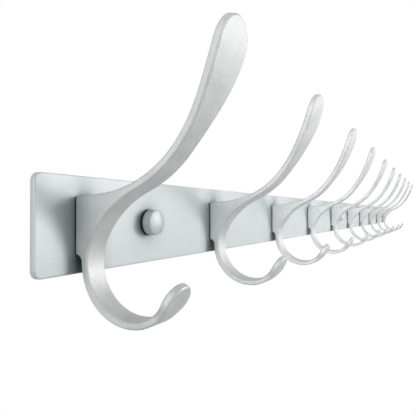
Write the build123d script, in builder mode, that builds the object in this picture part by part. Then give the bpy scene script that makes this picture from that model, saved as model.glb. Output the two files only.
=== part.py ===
"""A wall coat rack: a flat metal rail that carries a row of cast double-prong hooks.

All sizes are in millimetres. X runs along the rail, -Y points out into the room and Z is up.
The origin is the middle of the rail's wall face.
"""
import os
from math import asin, cos, degrees, radians, sin, sqrt, tan

from build123d import *

os.makedirs("parts", exist_ok=True)

# Rail, a flat bar with rounded corners
rail_height = 35.0
rail_thickness = 2.0
rail_corner_radius = 3.0
rail_edge_radius = 0.4
rail_end_margin = 22.15

# Row of hooks
hook_count = 10
hook_pitch = 101.6
hooks_between_fixings = 4
body_width = 9.3
cast_edge_break = 0.5

# Side form of a hook, measured out from the rail's front face and up from its middle.
# A heading is an angle above the outward direction, in degrees.
strip_thickness = 2.8
ring_centre_out = 24.0
ring_centre_up = -13.3
ring_inner_radius = 18.5
toe_inner_radius = 15.7
toe_heading = 60.0
toe_straight = 7.1
neck_heading = 60.0
neck_radius = 37.0
waist_heading = 25.5
waist_length = 4.0
prong_low_radius = 45.0
prong_low_heading = 50.0
prong_high_radius = 92.0
prong_heading = 75.0
prong_straight = 5.2
crook_radius = 45.0
root_top_slope = 4.5

# Front form of the upper prong, a paddle with a round end
prong_paddle_width = 18.2
prong_flare_length = 35.0

# Form of the lower prong's toe, seen square to it
toe_paddle_width = 12.7
toe_flare_length = 7.0
end_trim = 0.5

# Screws that hold each hook from behind
hook_screw_radius = 1.45
hook_screw_head_radius = 2.8
hook_screw_length = 6.0
hook_screw_offset = 5.3
hook_screw_key_width = 2.0
hook_screw_key_depth = 0.7
thread_clearance = 0.05
screw_hole_clearance = 0.2
hook_hole_spare_depth = 0.5
head_recess = 0.1

# Wall fixings, each a wood screw through a black snap washer, under a turned cap
wall_screw_pitch = hooks_between_fixings * hook_pitch
wall_screw_count = 3
wall_screw_offset = 38.8
wall_screw_radius = 2.0
wall_screw_core_radius = 1.5
wall_screw_head_radius = 3.6
wall_screw_shank_end = 4.0
wall_screw_reach = 34.0
wall_screw_point = 4.0
wall_screw_tip_radius = 0.3
wall_screw_slot_length = 4.2
wall_screw_slot_width = 1.0
wall_screw_slot_depth = 0.9
wall_hole_clearance = 0.25
washer_radius = 5.7
washer_flange = 1.2
washer_boss_radius = 4.2
washer_boss_height = 2.4
cap_radius = 5.5
cap_side_height = 3.9
cap_dome_height = 1.1
cap_edge_radius = 0.5
cap_top_wall = 0.8
cap_bore_clearance = 0.1

rail_length = (hook_count - 1) * hook_pitch + 2 * rail_end_margin
first_hook_x = -(hook_count - 1) * hook_pitch / 2
hook_places = [first_hook_x + number * hook_pitch for number in range(hook_count)]
wall_screw_places = [
    first_hook_x + wall_screw_offset + number * wall_screw_pitch
    for number in range(wall_screw_count)
]
hook_screw_heights = (hook_screw_offset, -hook_screw_offset)
hook_thread_radius = hook_screw_radius + thread_clearance
hook_screw_hole_radius = hook_thread_radius + screw_hole_clearance
hook_thread_depth = hook_screw_length - rail_thickness + hook_hole_spare_depth
rail_front = -rail_thickness

# Sketch planes: the hook's side view, and the rail's front face
side_plane = Plane(origin=(0, rail_front, 0), x_dir=(0, -1, 0), z_dir=(-1, 0, 0))
front_plane = Plane(origin=(0, rail_front, 0), x_dir=(1, 0, 0), z_dir=(0, -1, 0))

# Half sections of turned pieces: radius along X, and height out from the wall or the rail's front
wall_turning_plane = Plane(origin=(0, 0, 0), x_dir=(1, 0, 0), z_dir=(0, 0, -1))
rail_turning_plane = Plane(origin=(0, rail_front, 0), x_dir=(1, 0, 0), z_dir=(0, 0, -1))
fixing_axis = Axis((0, rail_front, 0), (0, -1, 0))


def direction(heading):
    """Unit vector in the side view at an angle above the outward direction."""
    return (cos(radians(heading)), sin(radians(heading)))


def beside_paddle(zone, width, flare_length):
    """What is cut away beside a paddle that ends a distance of zone above the sketch's X axis."""
    with BuildSketch() as waste:
        Rectangle(2 * width, zone + width, align=(Align.CENTER, Align.MIN))
        with BuildLine():
            flare = Spline(
                (body_width / 2, zone - width / 2 - flare_length),
                (width / 2, zone - width / 2),
                tangents=[(0, 1), (0, 1)],
            )
            Line((body_width / 2, -width), flare @ 0)
            JernArc(flare @ 1, (0, 1), width / 2, 90)
            mirror(about=Plane.YZ)
            Line((body_width / 2, -width), (-body_width / 2, -width))
        make_face(mode=Mode.SUBTRACT)
    return waste.sketch


# The bar, with its clearance holes and the countersinks of the hook screws
with BuildPart() as rail:
    with BuildSketch(Plane.XZ):
        RectangleRounded(rail_length, rail_height, rail_corner_radius)
    extrude(amount=rail_thickness)
    fillet(rail.faces().sort_by(Axis.Y)[0].edges(), rail_edge_radius)
    with BuildSketch(Plane.XZ):
        with Locations([(x, 0) for x in wall_screw_places]):
            Circle(wall_screw_radius + wall_hole_clearance)
        with Locations([(x, z) for x in hook_places for z in hook_screw_heights]):
            Circle(hook_screw_hole_radius)
    extrude(amount=rail_thickness, mode=Mode.SUBTRACT)
    with BuildSketch(Plane.XZ):
        with Locations([(x, z) for x in hook_places for z in hook_screw_heights]):
            Circle(hook_screw_head_radius + head_recess)
    extrude(
        amount=hook_screw_head_radius + head_recess - hook_screw_hole_radius,
        taper=45,
        mode=Mode.SUBTRACT,
    )
rail.part.label = "rail"
export_step(rail.part, "parts/rail.step")

# One casting at the middle of the rail: ring, web and upper prong from a single side outline
with BuildPart() as hook_blank:
    with BuildSketch(side_plane):
        with BuildLine():
            ring_inside = CenterArc(
                (ring_centre_out, ring_centre_up),
                ring_inner_radius,
                90 + neck_heading,
                180 - neck_heading,
            )
            toe_inside = JernArc(ring_inside @ 1, (1, 0), toe_inner_radius, toe_heading)
            toe_inner_edge = PolarLine(toe_inside @ 1, toe_straight, toe_heading)
            toe_end = PolarLine(toe_inner_edge @ 1, strip_thickness, toe_heading - 90)
            toe_outer_edge = PolarLine(toe_end @ 1, toe_straight, toe_heading + 180)
            toe_outside = JernArc(
                toe_outer_edge @ 1,
                direction(toe_heading + 180),
                toe_inner_radius + strip_thickness,
                -toe_heading,
            )
            ring_outside = JernArc(toe_outside @ 1, (-1, 0), ring_inner_radius + strip_thickness, -90)
            root_corner = JernArc(ring_outside @ 1, (0, 1), (ring_outside @ 1).X, 90)

            neck = JernArc(
                ring_inside @ 0, direction(neck_heading), neck_radius, waist_heading - neck_heading
            )
            waist = PolarLine(neck @ 1, waist_length, waist_heading)
            prong_low = JernArc(
                waist @ 1, direction(waist_heading), prong_low_radius, prong_low_heading - waist_heading
            )
            prong_high = JernArc(
                prong_low @ 1,
                direction(prong_low_heading),
                prong_high_radius,
                prong_heading - prong_low_heading,
            )
            prong_front_edge = PolarLine(prong_high @ 1, prong_straight, prong_heading)
            prong_end = PolarLine(prong_front_edge @ 1, strip_thickness, prong_heading + 90)
            prong_back_edge = PolarLine(prong_end @ 1, prong_straight, prong_heading + 180)
            back_high = JernArc(
                prong_back_edge @ 1,
                direction(prong_heading + 180),
                prong_high_radius - strip_thickness,
                prong_low_heading - prong_heading,
            )
            back_low = JernArc(
                back_high @ 1,
                direction(prong_low_heading + 180),
                prong_low_radius - strip_thickness,
                waist_heading - prong_low_heading,
            )
            crook = JernArc(
                back_low @ 1,
                direction(waist_heading + 180),
                crook_radius,
                root_top_slope - waist_heading,
            )
            root_top = crook @ 1 - Vector(1, tan(radians(root_top_slope))) * (crook @ 1).X
            Line(crook @ 1, root_top)
            Line(root_top, root_corner @ 1)
        make_face()
    extrude(amount=prong_paddle_width / 2, both=True)
    side_reach = hook_blank.part.bounding_box().diagonal

    # Each prong ends in a paddle with a round end, drawn square to the strip there
    paddles = (
        (prong_end @ 0.5, prong_heading, prong_paddle_width, prong_flare_length),
        (toe_end @ 0.5, toe_heading, toe_paddle_width, toe_flare_length),
    )
    for tip, heading, width, flare_length in paddles:
        zone = width / 2 + flare_length
        zone_start = side_plane.from_local_coords(
            tip - (zone + end_trim) * Vector(*direction(heading))
        )
        square_plane = Plane(
            origin=zone_start,
            x_dir=(1, 0, 0),
            z_dir=(0, -sin(radians(heading)), -cos(radians(heading))),
        )
        with BuildSketch(square_plane):
            add(beside_paddle(zone, width, flare_length))
        extrude(amount=zone / 2, both=True, mode=Mode.SUBTRACT)

    # Away from the paddles the casting keeps the body's width
    for side in (1, -1):
        with BuildSketch(side_plane.offset(side * body_width / 2)):
            Rectangle(2 * side_reach, 2 * side_reach)
            for tip, heading, width, flare_length in paddles:
                zone = width / 2 + flare_length
                with Locations(tip):
                    Rectangle(2 * (zone + end_trim), zone, rotation=heading, mode=Mode.SUBTRACT)
        extrude(amount=side * prong_paddle_width, mode=Mode.SUBTRACT)
    chamfer(hook_blank.edges().filter_by(Axis.X, reverse=True), cast_edge_break)

    # Tapped blind holes in the root
    with BuildSketch(front_plane):
        with Locations([(0, z) for z in hook_screw_heights]):
            Circle(hook_thread_radius)
    extrude(amount=hook_thread_depth, mode=Mode.SUBTRACT)

# A countersunk machine screw with a hexagon socket, its head towards the wall
with BuildPart() as hook_screw_blank:
    with BuildSketch(wall_turning_plane):
        with BuildLine():
            Polyline(
                (0, head_recess),
                (hook_screw_head_radius, head_recess),
                (hook_screw_radius, head_recess + hook_screw_head_radius - hook_screw_radius),
                (hook_screw_radius, hook_screw_length),
                (0, hook_screw_length),
                close=True,
            )
        make_face()
    revolve(axis=Axis((0, 0, 0), (0, -1, 0)))
    with BuildSketch(Plane.XZ.offset(head_recess)):
        RegularPolygon(hook_screw_key_width / 2, 6, major_radius=False)
    extrude(amount=hook_screw_key_depth, mode=Mode.SUBTRACT)

for number, place in enumerate(hook_places, start=1):
    with BuildPart() as hook:
        with Locations((place, 0, 0)):
            add(hook_blank.part)
    hook.part.label = f"hook_{number:02d}"
    export_step(hook.part, f"parts/{hook.part.label}.step")
    for end, height in zip(("upper", "lower"), hook_screw_heights):
        with BuildPart() as hook_screw:
            with Locations((place, 0, height)):
                add(hook_screw_blank.part)
        hook_screw.part.label = f"hook_screw_{number:02d}_{end}"
        export_step(hook_screw.part, f"parts/{hook_screw.part.label}.step")

# Wall fixing at the middle of the rail: a washer with a boss, the screw that it seats, and the cap
washer_top = washer_flange + washer_boss_height
washer_bore_radius = wall_screw_radius + wall_hole_clearance
with BuildPart() as washer_blank:
    with BuildSketch(rail_turning_plane):
        with BuildLine():
            Polyline(
                (washer_bore_radius, 0),
                (washer_radius, 0),
                (washer_radius, washer_flange),
                (washer_boss_radius, washer_flange),
                (washer_boss_radius, washer_top),
                (wall_screw_head_radius, washer_top),
                (washer_bore_radius, washer_top - wall_screw_head_radius + washer_bore_radius),
                close=True,
            )
        make_face()
    revolve(axis=fixing_axis)

wall_screw_shoulder = -rail_thickness - wall_screw_shank_end
wall_screw_end = -rail_thickness - wall_screw_reach
with BuildPart() as wall_screw_blank:
    with BuildSketch(rail_turning_plane):
        with BuildLine():
            Polyline(
                (0, washer_top),
                (wall_screw_head_radius, washer_top),
                (wall_screw_radius, washer_top - wall_screw_head_radius + wall_screw_radius),
                (wall_screw_radius, wall_screw_shoulder),
                (wall_screw_core_radius, wall_screw_shoulder),
                (wall_screw_core_radius, wall_screw_end + wall_screw_point),
                (wall_screw_tip_radius, wall_screw_end),
                (0, wall_screw_end),
                close=True,
            )
        make_face()
    revolve(axis=fixing_axis)
    with BuildSketch(front_plane.offset(washer_top)):
        Rectangle(wall_screw_slot_length, wall_screw_slot_width)
        Rectangle(wall_screw_slot_width, wall_screw_slot_length)
    extrude(amount=-wall_screw_slot_depth, mode=Mode.SUBTRACT)

cap_side_top = washer_flange + cap_side_height
cap_top = cap_side_top + cap_dome_height
cap_bore_radius = washer_boss_radius + cap_bore_clearance
cap_dome_radius = (cap_radius**2 + cap_dome_height**2) / (2 * cap_dome_height)
cap_dome_half_angle = degrees(asin(cap_radius / cap_dome_radius))
dome_drop_at_bore = cap_dome_radius - sqrt(cap_dome_radius**2 - cap_bore_radius**2)
cap_bore_top = cap_top - dome_drop_at_bore - cap_top_wall
with BuildPart() as cap_blank:
    with BuildSketch(rail_turning_plane) as cap_half:
        with BuildLine():
            dome = JernArc((0, cap_top), (1, 0), cap_dome_radius, -cap_dome_half_angle)
            Polyline(
                dome @ 1,
                (cap_radius, washer_flange),
                (cap_bore_radius, washer_flange),
                (cap_bore_radius, cap_bore_top),
                (0, cap_bore_top),
                dome @ 0,
            )
        make_face()
        fillet(cap_half.vertices().group_by(Axis.X)[-1].sort_by(Axis.Y)[-1], cap_edge_radius)
    revolve(axis=fixing_axis)

fixings = (("cap_washer", washer_blank), ("wall_screw", wall_screw_blank), ("screw_cap", cap_blank))
for number, place in enumerate(wall_screw_places, start=1):
    for name, blank in fixings:
        with BuildPart() as fixing:
            with Locations((place, 0, 0)):
                add(blank.part)
        fixing.part.label = f"{name}_{number}"
        export_step(fixing.part, f"parts/{fixing.part.label}.step")
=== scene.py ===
"""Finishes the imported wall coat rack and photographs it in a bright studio.

Sizes are in metres, in the rack's own frame: X runs along the rail, -Y points out into the room and Z is up.
The origin is the middle of the rail's wall face.
"""
import logging
import math
from abc import ABC, abstractmethod
from dataclasses import dataclass, replace
from enum import Enum

import bpy
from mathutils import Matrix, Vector


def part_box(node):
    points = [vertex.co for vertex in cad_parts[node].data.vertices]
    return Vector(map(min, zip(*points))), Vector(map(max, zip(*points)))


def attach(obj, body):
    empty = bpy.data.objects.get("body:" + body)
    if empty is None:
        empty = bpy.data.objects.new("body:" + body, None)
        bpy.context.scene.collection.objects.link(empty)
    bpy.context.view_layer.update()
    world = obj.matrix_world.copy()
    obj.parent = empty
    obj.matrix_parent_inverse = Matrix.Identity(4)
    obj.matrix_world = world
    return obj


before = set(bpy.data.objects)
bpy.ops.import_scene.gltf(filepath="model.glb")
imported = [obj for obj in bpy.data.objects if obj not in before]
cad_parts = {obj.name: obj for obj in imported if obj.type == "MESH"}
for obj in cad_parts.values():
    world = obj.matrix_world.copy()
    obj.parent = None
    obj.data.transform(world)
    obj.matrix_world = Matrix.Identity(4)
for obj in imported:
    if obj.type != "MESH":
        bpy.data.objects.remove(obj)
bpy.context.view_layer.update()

log = logging.getLogger("coat_rack")

Colour = tuple[float, float, float]
Range = tuple[float, float]
Socket = bpy.types.NodeSocket
Source = Socket | float | Colour
Inputs = dict[str | int, Source]

MM = 0.001
WALL_FIXINGS = 3
PHOTO_SIDE = 416
SENSOR_MM = 36.0

WHITE: Colour = (1.0, 1.0, 1.0)
# Near-black teal that the metals blend towards for painted shade in hollows and inner corners, and for
# darkened pinholes.
SHADE_AND_PIT_COLOUR: Colour = (0.020, 0.044, 0.048)
WHOLE: Range = (0.0, 1.0)
# Nearly all values of a noise texture lie in this range.
NOISE_BAND: Range = (0.3, 0.7)
# A wave texture turns this many radians over a metre, at a scale of 1.
WAVE_RADIANS = 20.0
# A pinhole is fully deep over this share of its radius.
PIT_FLOOR = 0.6
EDGE_SAMPLES = 6
OPENNESS_SAMPLES = 8
# A Mix node's colour sockets share their names with those for numbers, so they go by their places.
MIX_LOW = 6
MIX_HIGH = 7
MIX_RESULT = 2


class Slot(Enum):
    """Material slots of the rack's record."""

    RAIL = "rail"
    CASTING = "casting"
    CAP = "cap"
    WASHER = "washer"
    SCREW = "screw"


class Way(Enum):
    """Direction in which a metal's fine marks run."""

    ALL = (1.0, 1.0, 1.0)
    ALONG_RAIL = (0.012, 1.0, 1.0)


class ShaderBench:
    """Lays out and joins the nodes of one shader, for a material or for the world."""

    def __init__(self, tree: bpy.types.NodeTree, output_kind: str) -> None:
        """Empties the tree and starts it with its output.

        Args:
            tree: Node tree to fill.
            output_kind: Type name of the output node.
        """
        self.tree = tree
        self.tree.nodes.clear()
        self.output = self.node(output_kind)

    @classmethod
    def for_material(cls, name: str) -> tuple["ShaderBench", bpy.types.Material]:
        """Makes an empty material.

        Args:
            name: Name of the material.

        Returns:
            The bench of the material's nodes, and the material.
        """
        material = bpy.data.materials.new(name)
        material.use_nodes = True
        return cls(material.node_tree, "ShaderNodeOutputMaterial"), material

    def node(self, kind: str, inputs: Inputs | None = None, **settings: object) -> bpy.types.Node:
        """Adds a node.

        Args:
            kind: Type name of the node.
            inputs: What its inputs take, by their names or their places.
            **settings: Properties of the node and their values.

        Returns:
            The new node.
        """
        made = self.tree.nodes.new(kind)
        for name, value in settings.items():
            setattr(made, name, value)
        for key, source in (inputs or {}).items():
            self.feed(made.inputs[key], source)
        return made

    def feed(self, target: Socket, source: Source) -> None:
        """Joins a socket to another one, or sets its value.

        Args:
            target: Input socket.
            source: Output socket, number or colour.
        """
        if isinstance(source, bpy.types.NodeSocket):
            self.tree.links.new(source, target)
        elif isinstance(source, tuple) and len(source) < len(target.default_value):
            target.default_value = (*source, 1.0)
        else:
            target.default_value = source

    def cover(self, shader: bpy.types.Node) -> None:
        """Makes a shader the surface of what the bench's nodes dress."""
        self.feed(self.output.inputs["Surface"], shader.outputs[0])

    def math(self, operation: str, *values: Source) -> Socket:
        """Works out one number from others."""
        return self.node("ShaderNodeMath", dict(enumerate(values)), operation=operation).outputs[0]

    def blend(self, first: Socket, second: Socket, share: float) -> Socket:
        """Blends two numbers, by the share of the first one."""
        rest = self.math("MULTIPLY", second, 1.0 - share)
        return self.math("ADD", self.math("MULTIPLY", first, share), rest)

    def span(self, value: Socket, given: Range, wanted: Range = WHOLE) -> Socket:
        """Maps a range of numbers on another, and holds it there.

        Args:
            value: Number to map.
            given: Start and end of its range.
            wanted: What the start and the end become.

        Returns:
            The mapped number.
        """
        inputs = {
            "Value": value,
            "From Min": given[0],
            "From Max": given[1],
            "To Min": wanted[0],
            "To Max": wanted[1],
        }
        return self.node("ShaderNodeMapRange", inputs).outputs[0]

    def tint(self, amount: Socket, low: Source, high: Source) -> Socket:
        """Blends two colours, by the share of the second one."""
        inputs = {"Factor": amount, MIX_LOW: low, MIX_HIGH: high}
        return self.node("ShaderNodeMix", inputs, data_type="RGBA").outputs[MIX_RESULT]

    def place(self) -> Socket:
        """Where a point of the surface lies in the rack's frame."""
        return self.node("ShaderNodeTexCoord").outputs["Object"]

    def speckle(self, size: float, way: Way = Way.ALL, detail: float = 2.0) -> Socket:
        """Fine irregular marks, fixed to the object.

        Args:
            size: Width of a mark.
            way: Direction in which the marks run.
            detail: How much smaller detail they hold.

        Returns:
            The marks, from 0 to 1.
        """
        stretched = self.node("ShaderNodeMapping", {"Vector": self.place(), "Scale": way.value}).outputs[0]
        inputs = {"Vector": stretched, "Scale": 1.0 / size, "Detail": detail}
        return self.node("ShaderNodeTexNoise", inputs).outputs[0]

    def rounded_normal(self, radius: float) -> Socket:
        """Surface direction with its edges eased over a radius."""
        return self.node("ShaderNodeBevel", {"Radius": radius}, samples=EDGE_SAMPLES).outputs[0]

    def edge(self, radius: float, sharpness: float) -> Socket:
        """Finds the edges of a piece.

        Args:
            radius: Width of the band beside an edge.
            sharpness: How much the band's direction turns from the face to count in full.

        Returns:
            A mask, 1 on the edges and 0 on open faces.
        """
        face = self.node("ShaderNodeNewGeometry").outputs["Normal"]
        inputs = {0: self.rounded_normal(radius), 1: face}
        dot = self.node("ShaderNodeVectorMath", inputs, operation="DOT_PRODUCT").outputs["Value"]
        return self.span(dot, (1.0, 1.0 - sharpness))

    def openness(self, reach: float) -> Socket:
        """Tells how open a place is: 1 on an open face, and about 0.5 in an inner corner."""
        made = self.node("ShaderNodeAmbientOcclusion", {"Distance": reach}, samples=OPENNESS_SAMPLES)
        return made.outputs["AO"]

    def pits(self, spacing: float, radius: float) -> Socket:
        """Scattered pinholes.

        Args:
            spacing: Mean distance from one to the next.
            radius: Radius of the largest ones.

        Returns:
            A mask, 1 in a pinhole.
        """
        cells = self.node("ShaderNodeTexVoronoi", {"Vector": self.place(), "Scale": 1.0 / spacing}).outputs
        reach = self.math("MULTIPLY", cells["Color"], radius / spacing)
        return self.span(self.math("DIVIDE", cells["Distance"], reach), (1.0, PIT_FLOOR))

    def relief(self, height: Socket, depth: float, strength: float, normal: Socket) -> Socket:
        """Turns marks from 0 to 1 into relief, and gives the surface direction with it."""
        inputs = {"Strength": strength, "Distance": depth, "Height": height, "Normal": normal}
        return self.node("ShaderNodeBump", inputs).outputs[0]

    def seen(self, mirrored: float = 1.0) -> Socket:
        """Tells what is looked at from what scattered light meets.

        Args:
            mirrored: Share for what a reflection sees.

        Returns:
            1 for the camera and clear glass, the share for a reflection, and 0 for scattered light.
        """
        path = self.node("ShaderNodeLightPath").outputs
        straight = self.math("MAXIMUM", path["Is Camera Ray"], path["Is Transmission Ray"])
        return self.math("MAXIMUM", straight, self.math("MULTIPLY", path["Is Glossy Ray"], mirrored))


@dataclass(frozen=True)
class SatinMetal:
    """Metal with fine marks, faint clouds and eased, slightly polished edges.

    Attributes:
        name: Name of the material.
        dark: Colour in the marks.
        light: Colour between them.
        edge_line: Colour painted along the edges; lighter than the faces it is a painted highlight, darker
            it is painted crease shade.
        metallic: Share of metal over lacquer.
        roughness: Roughness of the open faces.
        polish: How much smoother the edges are.
        mark_size: Width of a mark.
        mark_depth: Height of the relief.
        mark_strength: How much of the relief shows.
        cloud_size: Size of the faint clouds.
        edge_radius: Radius over which edges are eased.
        way: Direction in which the marks run.
        mark_detail: How much smaller detail the marks hold.
        mark_share: Share of the marks in the tone, where the clouds have the rest.
        tone_band: Tones that show as the dark colour and as the light one.
        edge_turn: How much the eased surface turns from the face where an edge is fully worn.
        unevenness: How far the roughness strays to either side.
        hollow_shade_reach: Reach of the painted shade in hollows, where neighbouring faces close in.
        hollow_shade: How dark the painted shade in hollows gets.
        seam_shade_reach: Reach of the painted shade along inner corners and joins.
        seam_shade_band: How open a place is where the painted shade starts, and where it covers the metal in
            full.
        pit_spacing: Mean distance between pinholes.
        pit_radius: Radius of the largest pinholes.
        pit_darkness: How far a pinhole is darkened towards the dark teal colour.
    """

    name: str
    dark: Colour
    light: Colour
    edge_line: Colour
    metallic: float
    roughness: float
    polish: float
    mark_size: float
    mark_depth: float
    mark_strength: float
    cloud_size: float
    edge_radius: float
    way: Way = Way.ALL
    mark_detail: float = 3.0
    mark_share: float = 0.65
    tone_band: Range = (0.38, 0.62)
    edge_turn: float = 0.12
    unevenness: float = 0.04
    hollow_shade_reach: float = 10 * MM
    hollow_shade: float = 0.5
    seam_shade_reach: float = 2.2 * MM
    seam_shade_band: Range = (0.60, 0.44)
    pit_spacing: float = 9 * MM
    pit_radius: float = 0.35 * MM
    pit_darkness: float = 0.6

    def marks(self, bench: ShaderBench) -> Socket:
        """The finish's fine marks."""
        return bench.speckle(self.mark_size, self.way, self.mark_detail)

    def make(self) -> bpy.types.Material:
        """Makes the material.

        Returns:
            The material.
        """
        bench, material = ShaderBench.for_material(self.name)
        marks = self.marks(bench)
        clouds = bench.speckle(self.cloud_size)
        edges = bench.edge(self.edge_radius, self.edge_turn)
        pits = bench.pits(self.pit_spacing, self.pit_radius)
        tone = bench.blend(marks, clouds, self.mark_share)
        face = bench.tint(bench.span(tone, self.tone_band), self.dark, self.light)
        # Paints each finish's edge colour along its edges: a painted highlight where that colour is lighter
        # than the faces, painted crease shade where it is darker.
        face = bench.tint(edges, face, self.edge_line)
        # Painted shade: darkens the colour towards the dark teal where a place is less open, as if shade
        # fell in hollows.
        painted_hollow_shade = bench.span(bench.openness(self.hollow_shade_reach), (1.0, 0.0), (0.0, self.hollow_shade))
        # Painted shade: a dark line along inner corners and joins, where a gap's shadow would fall.
        painted_seam_shade = bench.span(bench.openness(self.seam_shade_reach), self.seam_shade_band)
        # Joins the painted shade of hollows and inner corners with the darkened pinholes.
        shade_and_pits = bench.math("MAXIMUM", painted_hollow_shade, painted_seam_shade)
        shade_and_pits = bench.math("MAXIMUM", shade_and_pits, bench.math("MULTIPLY", pits, self.pit_darkness))
        rough = (self.roughness - self.unevenness, self.roughness + self.unevenness)
        polished = bench.math("MULTIPLY", edges, self.polish)
        height = bench.math("SUBTRACT", marks, pits)
        rounded = bench.rounded_normal(self.edge_radius)
        # The base colour blends in the painted shade and the darkened pinholes. Where the painted shade of
        # inner corners covers the metal, the metal is taken away, so the shade stays dark in reflections
        # too.
        inputs = {
            "Base Color": bench.tint(shade_and_pits, face, SHADE_AND_PIT_COLOUR),
            "Metallic": bench.span(painted_seam_shade, WHOLE, (self.metallic, 0.0)),
            "Roughness": bench.math("SUBTRACT", bench.span(clouds, NOISE_BAND, rough), polished),
            "Normal": bench.relief(height, self.mark_depth, self.mark_strength, rounded),
        }
        bench.cover(bench.node("ShaderNodeBsdfPrincipled", inputs))
        return material


@dataclass(frozen=True)
class TurnedMetal(SatinMetal):
    """Satin metal with the rings that a lathe leaves round an axis along Y.

    Attributes:
        axis_x: Where the axis stands along the rail.
        ring_pitch: Distance from one ring to the next.
        ring_waver: How much the rings waver.
        ring_share: Share of the rings in the marks, where a fine speckle has the rest.
    """

    axis_x: float = 0.0
    ring_pitch: float = 0.35 * MM
    ring_waver: float = 1.5
    ring_share: float = 0.6

    def marks(self, bench: ShaderBench) -> Socket:
        """Rings round the axis, broken up by fine speckle.

        Args:
            bench: Bench of the material's nodes.

        Returns:
            The marks, from 0 to 1.
        """
        axis = (self.axis_x, 0.0, 0.0)
        centred = bench.node("ShaderNodeVectorMath", {0: bench.place(), 1: axis}, operation="SUBTRACT")
        inputs = {
            "Vector": centred.outputs[0],
            "Scale": 2 * math.pi / (WAVE_RADIANS * self.ring_pitch),
            "Distortion": self.ring_waver,
        }
        rings = bench.node("ShaderNodeTexWave", inputs, wave_type="RINGS", rings_direction="Y")
        return bench.blend(rings.outputs["Fac"], bench.speckle(self.mark_size), self.ring_share)


@dataclass(frozen=True)
class MouldedPlastic:
    """Matt plastic with the fine grain of its mould.

    Attributes:
        name: Name of the material.
        colour: Colour in the grain's hollows.
        roughness: Mean roughness.
        grain_size: Width of a grain.
        grain_depth: Height of the grain.
        grain_strength: How much of its relief shows.
        crest: How many times lighter the grain's crests are.
        unevenness: How far the roughness strays to either side.
        edge_radius: Radius over which edges are eased.
    """

    name: str
    colour: Colour
    roughness: float
    grain_size: float
    grain_depth: float
    grain_strength: float
    crest: float
    unevenness: float
    edge_radius: float

    def make(self) -> bpy.types.Material:
        """Makes the material.

        Returns:
            The material.
        """
        bench, material = ShaderBench.for_material(self.name)
        grain = bench.speckle(self.grain_size)
        lighter = tuple(self.crest * part for part in self.colour)
        rough = (self.roughness - self.unevenness, self.roughness + self.unevenness)
        rounded = bench.rounded_normal(self.edge_radius)
        inputs = {
            "Base Color": bench.tint(grain, self.colour, lighter),
            "Roughness": bench.span(grain, NOISE_BAND, rough),
            "Normal": bench.relief(grain, self.grain_depth, self.grain_strength, rounded),
        }
        bench.cover(bench.node("ShaderNodeBsdfPrincipled", inputs))
        return material


SATIN_BAR = SatinMetal(
    name="satin_bar",
    dark=(0.60, 0.635, 0.65),
    light=(0.665, 0.695, 0.71),
    # A painted highlight along the bar's eased edges.
    edge_line=(0.95, 0.955, 0.96),
    metallic=0.31,
    roughness=0.47,
    polish=0.12,
    mark_size=0.22 * MM,
    mark_depth=0.015 * MM,
    mark_strength=0.12,
    cloud_size=14 * MM,
    edge_radius=0.8 * MM,
    way=Way.ALONG_RAIL,
    hollow_shade_reach=12 * MM,
    hollow_shade=1.35,
    seam_shade_reach=4.4 * MM,
)
BLASTED_CASTING = SatinMetal(
    name="blasted_casting",
    dark=(0.56, 0.575, 0.57),
    light=(0.745, 0.755, 0.745),
    # Painted crease shade: a dark line along the casting's edges.
    edge_line=(0.24, 0.25, 0.25),
    metallic=0.44,
    roughness=0.54,
    polish=0.16,
    mark_size=0.36 * MM,
    mark_depth=0.06 * MM,
    mark_strength=0.4,
    cloud_size=7 * MM,
    edge_radius=0.28 * MM,
    hollow_shade_reach=14 * MM,
    hollow_shade=0.22,
)
PLATED_SCREW = SatinMetal(
    name="plated_screw",
    dark=(0.50, 0.50, 0.47),
    light=(0.66, 0.66, 0.63),
    # The screws are painted lighter along their edges.
    edge_line=(0.74, 0.74, 0.72),
    metallic=0.9,
    roughness=0.30,
    polish=0.08,
    mark_size=0.25 * MM,
    mark_depth=0.02 * MM,
    mark_strength=0.3,
    cloud_size=2 * MM,
    edge_radius=0.15 * MM,
)
TURNED_CAP = TurnedMetal(
    name="turned_cap",
    dark=(0.53, 0.565, 0.57),
    light=(0.63, 0.655, 0.66),
    # A painted highlight along the cap's edges.
    edge_line=(0.90, 0.915, 0.92),
    metallic=0.42,
    roughness=0.50,
    polish=0.04,
    mark_size=0.2 * MM,
    mark_depth=0.03 * MM,
    mark_strength=0.5,
    cloud_size=4 * MM,
    edge_radius=0.3 * MM,
    hollow_shade=0.1,
)
MOULDED_WASHER = MouldedPlastic(
    name="moulded_washer",
    colour=(0.008, 0.0085, 0.009),
    roughness=0.65,
    grain_size=0.3 * MM,
    grain_depth=0.03 * MM,
    grain_strength=0.4,
    crest=2.2,
    unevenness=0.06,
    edge_radius=0.2 * MM,
)


def dress(piece: bpy.types.Object, material: bpy.types.Material) -> None:
    """Gives a piece one material all over."""
    piece.data.materials.clear()
    piece.data.materials.append(material)


@dataclass
class Rail:
    """The flat bar on the wall.

    Attributes:
        node: Name of its node.
        finish: Finish of the bar.
    """

    node: str = "rail"
    finish: SatinMetal = SATIN_BAR

    def build(self) -> dict[str, Slot]:
        """Dresses the bar, and tells the slots of its pieces."""
        dress(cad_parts[self.node], self.finish.make())
        return {self.node: Slot.RAIL}


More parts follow.
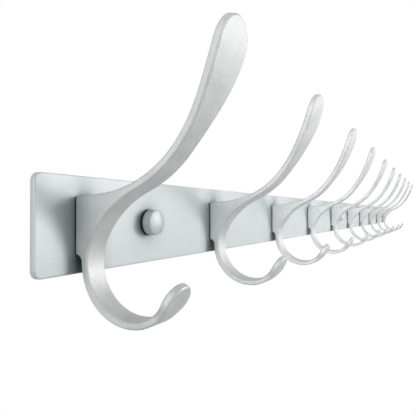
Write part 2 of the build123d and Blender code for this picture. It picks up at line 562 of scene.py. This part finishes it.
@dataclass
class HookRow:
    """The cast hooks and the screws that hold them from behind.

    Attributes:
        count: How many hooks the rail carries.
        ends: Which end of a hook's foot each of its screws holds.
        finish: Finish of the castings.
    """

    count: int = 10
    ends: tuple[str, ...] = ("upper", "lower")
    finish: SatinMetal = BLASTED_CASTING

    def build(self, plated: bpy.types.Material) -> dict[str, Slot]:
        """Dresses the castings and their screws.

        Args:
            plated: Material of the screws.

        Returns:
            The names of its pieces and their slots.
        """
        cast = self.finish.make()
        slots = {}
        for number in range(1, self.count + 1):
            hook = f"hook_{number:02d}"
            dress(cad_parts[hook], cast)
            slots[hook] = Slot.CASTING
            for end in self.ends:
                screw = f"hook_screw_{number:02d}_{end}"
                dress(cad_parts[screw], plated)
                slots[screw] = Slot.SCREW
        return slots


@dataclass
class WallFixing:
    """One wall screw with its washer and its cap, and the thread along the screw's core.

    Attributes:
        number: Which fixing along the rail.
        shank_end: How far behind the wall face the full shank reaches.
        point_length: Length of the screw's point.
        core_radius: Radius at the root of the thread.
        crest_radius: Radius over the thread.
        tip_radius: Radius of the core at the very tip.
        pitch: Advance of the thread in one turn.
        flank: Half the width of the thread's foot.
        foot_share: Share of the core's radius at which the thread's foot lies.
        steps: Steps in one turn of the thread.
        finish: Finish of the caps, which build centres on this one's axis.
    """

    number: int
    shank_end: float = 4.0 * MM
    point_length: float = 4.0 * MM
    core_radius: float = 1.5 * MM
    crest_radius: float = 2.0 * MM
    tip_radius: float = 0.3 * MM
    pitch: float = 1.8 * MM
    flank: float = 0.42 * MM
    foot_share: float = 0.97
    steps: int = 28
    finish: TurnedMetal = TURNED_CAP

    def build(self, plated: bpy.types.Material, moulded: bpy.types.Material) -> dict[str, Slot]:
        """Dresses the fixing's nodes and cuts the screw's thread.

        Args:
            plated: Material of the screw.
            moulded: Material of the washer.

        Returns:
            The names of its pieces and their slots.
        """
        screw = f"wall_screw_{self.number}"
        washer = f"cap_washer_{self.number}"
        cap = f"screw_cap_{self.number}"
        low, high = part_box(cap)
        turned = replace(self.finish, name=f"{self.finish.name}_{self.number}", axis_x=(low.x + high.x) / 2)
        dress(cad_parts[screw], plated)
        dress(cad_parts[washer], moulded)
        dress(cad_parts[cap], turned.make())
        thread = self.thread(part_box(screw))
        dress(thread, plated)
        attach(thread, "root")
        return {screw: Slot.SCREW, washer: Slot.WASHER, cap: Slot.CAP, thread.name: Slot.SCREW}

    def thread(self, box: tuple[Vector, Vector]) -> bpy.types.Object:
        """Winds the screw's thread round its core.

        Args:
            box: Lowest and highest corner of the screw.

        Returns:
            The thread.
        """
        axis_x = (box[0].x + box[1].x) / 2
        start, tip = self.shank_end, box[1].y
        turns = (tip - start - 2 * self.flank) / self.pitch
        total = int(turns * self.steps)
        corners: list[Vector] = []
        for step in range(total + 1):
            along = start + self.flank + self.pitch * step / self.steps
            turn = 2 * math.pi * step / self.steps
            fade = min(1.0, step / self.steps, (total - step) / self.steps)
            core = self.core_at(along, tip)
            crest = core + (self.crest_radius - self.core_radius) * fade
            foot = core * self.foot_share
            for offset, radius in ((-self.flank, foot), (0.0, crest), (self.flank, foot)):
                across = radius * math.cos(turn)
                up = radius * math.sin(turn)
                corners.append(Vector((axis_x + across, along + offset, up)))
        # The corners come in threes: the thread's foot on one side, its crest, and its foot on the other.
        faces: list[tuple[int, ...]] = [(0, 1, 2), (3 * total, 3 * total + 2, 3 * total + 1)]
        for step in range(total):
            here, there = 3 * step, 3 * step + 3
            for one, two in ((0, 1), (1, 2), (2, 0)):
                faces.append((here + one, there + one, there + two, here + two))
        mesh = bpy.data.meshes.new(f"wall_screw_thread_{self.number}")
        mesh.from_pydata(corners, [], faces)
        mesh.update()
        piece = bpy.data.objects.new(mesh.name, mesh)
        bpy.context.scene.collection.objects.link(piece)
        return piece

    def core_at(self, along: float, tip: float) -> float:
        """Radius of the core so far behind the wall face, for the place of the screw's tip."""
        left = min(1.0, (tip - along) / self.point_length)
        return self.tip_radius + (self.core_radius - self.tip_radius) * left


@dataclass(frozen=True)
class Lamp(ABC):
    """A lamp that faces the rack.

    Attributes:
        name: Name of the lamp.
        azimuth: Where it stands, in degrees from straight in front towards the rail's far end.
        elevation: Its height above the rack, in degrees.
        distance: How far off it stands.
        width: How wide it shines.
        level: Brightness of a white face turned to it.
        colour: Colour of its light.
        aim_x: Place along the rail that it faces.
    """

    name: str
    azimuth: float
    elevation: float
    distance: float
    width: float
    level: float
    colour: Colour = WHITE
    aim_x: float = 0.0

    @abstractmethod
    def light(self) -> bpy.types.Light:
        """Makes the lamp's light."""

    def hang(self) -> None:
        """Hangs the lamp."""
        turn, rise = math.radians(self.azimuth), math.radians(self.elevation)
        away = Vector((math.sin(turn) * math.cos(rise), -math.cos(turn) * math.cos(rise), math.sin(rise)))
        light = self.light()
        light.color = self.colour
        lamp = bpy.data.objects.new(self.name, light)
        lamp.location = Vector((self.aim_x, 0.0, 0.0)) + away * self.distance
        lamp.rotation_euler = (-away).to_track_quat("-Z", "Y").to_euler()
        bpy.context.scene.collection.objects.link(lamp)


@dataclass(frozen=True)
class Softbox(Lamp):
    """A square lamp that shines all round."""

    def light(self) -> bpy.types.Light:
        """Makes the lamp's light.

        Returns:
            The light.
        """
        light = bpy.data.lights.new(self.name, "AREA")
        light.shape = "SQUARE"
        light.size = self.width
        light.energy = self.level * math.pi**2 * self.distance**2
        return light


@dataclass(frozen=True)
class Spotlight(Lamp):
    """A round lamp whose beam fades out towards its rim.

    Attributes:
        beam: Angle of the beam, in degrees.
        softness: Share of the beam over which it fades out.
    """

    beam: float = 33.0
    softness: float = 0.6

    def light(self) -> bpy.types.Light:
        """Makes the lamp's light.

        Returns:
            The light.
        """
        light = bpy.data.lights.new(self.name, "SPOT")
        light.shadow_soft_size = self.width / 2
        light.energy = self.level * 4 * math.pi**2 * self.distance**2
        light.spot_size = math.radians(self.beam)
        light.spot_blend = self.softness
        return light


@dataclass
class Studio:
    """White room with a pale floor and its lamps.

    Attributes:
        floor_drop: How far the floor lies under the rack.
        floor_side: Length of the floor's side.
        floor_colour: Colour that the floor has in scattered light.
        ambient: Scattered light of the room.
        ambient_colour: Its colour.
        mirrored: How white the floor looks in a reflection, beside its own light.
        lamps: The lamps.
    """

    floor_drop: float = 1.3
    floor_side: float = 14.0
    floor_colour: Colour = (0.9, 0.9, 0.9)
    ambient: float = 0.17
    ambient_colour: Colour = (0.72, 0.95, 1.0)
    mirrored: float = 0.6
    lamps: tuple[Lamp, ...] = (
        Softbox(
            name="key_softbox",
            azimuth=33.0,
            elevation=10.0,
            distance=3.0,
            width=1.3,
            level=0.45,
            colour=(1.0, 0.985, 0.97),
        ),
        Softbox(
            name="fill_softbox",
            azimuth=-92.0,
            elevation=8.0,
            distance=4.5,
            width=5.4,
            level=0.48,
        ),
        Spotlight(
            name="row_spotlight",
            azimuth=-66.0,
            elevation=3.0,
            distance=1.9,
            width=0.2,
            level=0.30,
            aim_x=0.42,
        ),
    )

    def build(self) -> None:
        """Sets up the room, its floor and its lamps."""
        self.room()
        self.floor()
        for lamp in self.lamps:
            lamp.hang()
        bpy.context.scene.view_settings.view_transform = "Standard"

    def room(self) -> None:
        """Makes the world: white to look at, and a softer light for what it scatters."""
        world = bpy.data.worlds.new("white_room")
        world.use_nodes = True
        bpy.context.scene.world = world
        bench = ShaderBench(world.node_tree, "ShaderNodeOutputWorld")
        seen = bench.seen()
        inputs = {
            "Color": bench.tint(seen, self.ambient_colour, WHITE),
            "Strength": bench.span(seen, WHOLE, (self.ambient, 1.0)),
        }
        bench.cover(bench.node("ShaderNodeBackground", inputs))

    def floor(self) -> None:
        """Lays the pale floor, which keeps the rack's shadow."""
        half = self.floor_side / 2
        corners = [(x * half, y * half, -self.floor_drop) for x, y in ((-1, -1), (1, -1), (1, 1), (-1, 1))]
        mesh = bpy.data.meshes.new("studio_floor")
        mesh.from_pydata(corners, [], [(0, 1, 2, 3)])
        floor = bpy.data.objects.new("studio_floor", mesh)
        bpy.context.scene.collection.objects.link(floor)
        bench, material = ShaderBench.for_material("pale_floor")
        pale = bench.node("ShaderNodeBsdfDiffuse", {"Color": self.floor_colour}).outputs[0]
        white = bench.node("ShaderNodeEmission").outputs[0]
        shares = {0: bench.seen(self.mirrored), 1: pale, 2: white}
        bench.cover(bench.node("ShaderNodeMixShader", shares))
        dress(floor, material)


@dataclass(frozen=True)
class Photograph:
    """Camera of the photograph.

    Attributes:
        before_end: How far before the rail's near end it stands.
        before_front: How far in front of the rail it stands.
        height: Its height over the rail's middle.
        yaw: How far it turns from the rail's direction towards the wall, in degrees.
        pitch: How far it looks up, in degrees.
        focal_pixels: Focal length in pixels of the photograph.
        shift: Sideways shift of the lens.
        nearest: Distance from which on it shows things.
    """

    before_end: float = 100.6 * MM
    before_front: float = 116.5 * MM
    height: float = 4.23 * MM
    yaw: float = 25.99
    pitch: float = 0.61
    focal_pixels: float = 443.9
    shift: float = -0.04
    nearest: float = 5 * MM

    def build(self) -> None:
        """Sets the camera up."""
        low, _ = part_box("rail")
        turn, rise = math.radians(self.yaw), math.radians(self.pitch)
        ahead = Vector((math.cos(turn) * math.cos(rise), math.sin(turn) * math.cos(rise), math.sin(rise)))
        lens = bpy.data.cameras.new("photograph")
        lens.sensor_width = SENSOR_MM
        lens.lens = self.focal_pixels / PHOTO_SIDE * SENSOR_MM
        lens.shift_x = self.shift
        lens.clip_start = self.nearest
        camera = bpy.data.objects.new("photograph", lens)
        camera.location = (low.x - self.before_end, low.y - self.before_front, self.height)
        camera.rotation_euler = ahead.to_track_quat("-Z", "Y").to_euler()
        bpy.context.scene.collection.objects.link(camera)
        bpy.context.scene.camera = camera


def main() -> None:
    """Builds the rack's finishes, the studio and the camera."""
    logging.basicConfig(level=logging.INFO, format="%(message)s")
    plated = PLATED_SCREW.make()
    moulded = MOULDED_WASHER.make()
    pieces = Rail().build()
    pieces |= HookRow().build(plated)
    for number in range(1, WALL_FIXINGS + 1):
        pieces |= WallFixing(number).build(plated, moulded)
    for piece, slot in pieces.items():
        log.info("finished %s, slot %s", piece, slot.value)
    Studio().build()
    Photograph().build()


if __name__ == "__main__":
    main()
